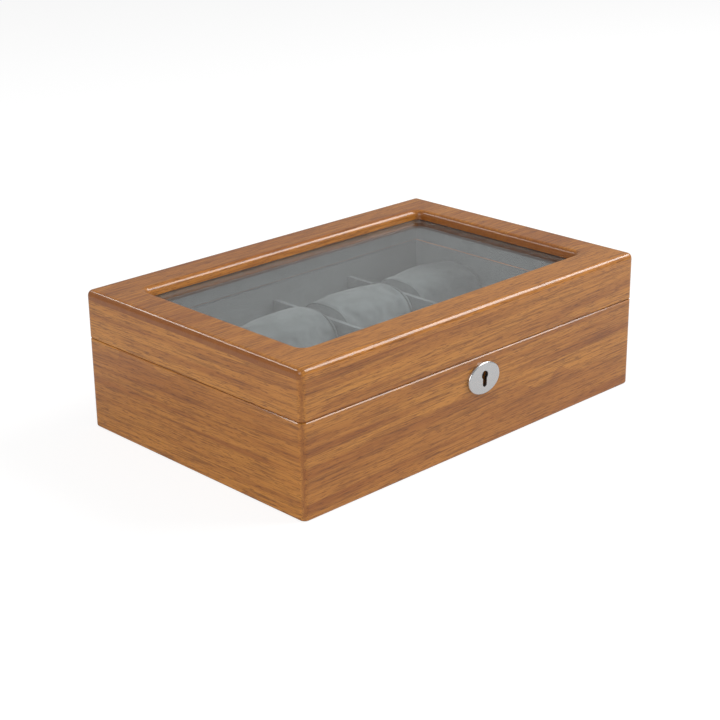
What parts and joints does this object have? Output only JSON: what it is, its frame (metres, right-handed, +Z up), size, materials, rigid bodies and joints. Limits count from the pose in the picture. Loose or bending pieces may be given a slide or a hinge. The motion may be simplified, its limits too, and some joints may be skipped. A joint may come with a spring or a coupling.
{
  "type": "watch box",
  "caption": "Wooden watch box with a glazed lid on butt hinges, lined cells holding lift-out watch pillows, and a mortised box lock behind an oval escutcheon.",
  "frame": {"origin": "middle of the flat underside, on the surface the box stands on", "axes": "+X along the length, +Z up through the lid, the front with the lock faces -Y"},
  "size_m": [0.29, 0.1995, 0.09],
  "materials": {
    "box_wood": "glossy lacquered teak, medium golden brown",
    "bottom_wood": "plain plywood",
    "felt": "thin black felt",
    "suede": "grey suede cloth",
    "pillow_suede": "soft grey suede cloth",
    "glass": "clear polished float glass",
    "nickel": "satin nickel plate",
    "lock_steel": "plain pressed steel",
    "screw_steel": "plated steel",
    "bolt_brass": "milled brass",
    "hinge_brass": "polished brass"
  },
  "bodies": {
    "base": {"base_front_board": "box_wood", "base_front_lining": "suede", "base_right_board": "box_wood", "base_right_lining": "suede", "base_back_board": "box_wood", "base_back_lining": "suede", "base_left_board": "box_wood", "base_left_lining": "suede", "bottom_board": "bottom_wood", "base_felt": "felt", "floor_lining": "suede", "row_divider": "suede", "lock_case": "lock_steel", "lock_cover": "lock_steel", "key_pin": "lock_steel", "lock_screws": "screw_steel", "escutcheon": "nickel", "base_hinge_screws": "screw_steel", "cross_divider_1": "suede", "cross_divider_2": "suede", "cross_divider_3": "suede", "base_hinge_leaf_left": "hinge_brass", "hinge_pin_left": "screw_steel", "base_hinge_leaf_right": "hinge_brass", "hinge_pin_right": "screw_steel"},
    "lid": {"lid_front_board": "box_wood", "lid_front_lining": "suede", "lid_right_board": "box_wood", "lid_right_lining": "suede", "lid_back_board": "box_wood", "lid_back_lining": "suede", "lid_left_board": "box_wood", "lid_left_lining": "suede", "lid_top_board": "box_wood", "lid_hinge_screws": "screw_steel", "lid_hinge_leaf_left": "hinge_brass", "lid_hinge_leaf_right": "hinge_brass", "glass_pane": "glass", "glass_frame": "suede", "strike_plate": "hinge_brass", "strike_screws": "screw_steel"},
    "bolt": {"lock_bolt": "bolt_brass"},
    "pillow_front_1": {"pillow_front_1": "pillow_suede"},
    "pillow_front_2": {"pillow_front_2": "pillow_suede"},
    "pillow_front_3": {"pillow_front_3": "pillow_suede"},
    "pillow_front_4": {"pillow_front_4": "pillow_suede"},
    "pillow_back_1": {"pillow_back_1": "pillow_suede"},
    "pillow_back_2": {"pillow_back_2": "pillow_suede"},
    "pillow_back_3": {"pillow_back_3": "pillow_suede"},
    "pillow_back_4": {"pillow_back_4": "pillow_suede"}
  },
  "joints": [
    {"name": "lid_hinge", "type": "hinge", "parent": "base", "child": "lid", "pos_m": [0, 0.0978, 0.059], "axis": [-1, 0, 0], "range_deg": [0, 95]},
    {"name": "bolt_slide", "type": "slide", "parent": "base", "child": "bolt", "axis": [-1, 0, 0], "range_m": [0, 0.0035]},
    {"name": "pillow_front_1_lift", "type": "slide", "parent": "base", "child": "pillow_front_1", "axis": [0, 0, 1], "range_m": [0, 0.022]},
    {"name": "pillow_front_2_lift", "type": "slide", "parent": "base", "child": "pillow_front_2", "axis": [0, 0, 1], "range_m": [0, 0.022]},
    {"name": "pillow_front_3_lift", "type": "slide", "parent": "base", "child": "pillow_front_3", "axis": [0, 0, 1], "range_m": [0, 0.022]},
    {"name": "pillow_front_4_lift", "type": "slide", "parent": "base", "child": "pillow_front_4", "axis": [0, 0, 1], "range_m": [0, 0.022]},
    {"name": "pillow_back_1_lift", "type": "slide", "parent": "base", "child": "pillow_back_1", "axis": [0, 0, 1], "range_m": [0, 0.022]},
    {"name": "pillow_back_2_lift", "type": "slide", "parent": "base", "child": "pillow_back_2", "axis": [0, 0, 1], "range_m": [0, 0.022]},
    {"name": "pillow_back_3_lift", "type": "slide", "parent": "base", "child": "pillow_back_3", "axis": [0, 0, 1], "range_m": [0, 0.022]},
    {"name": "pillow_back_4_lift", "type": "slide", "parent": "base", "child": "pillow_back_4", "axis": [0, 0, 1], "range_m": [0, 0.022]}
  ]
}
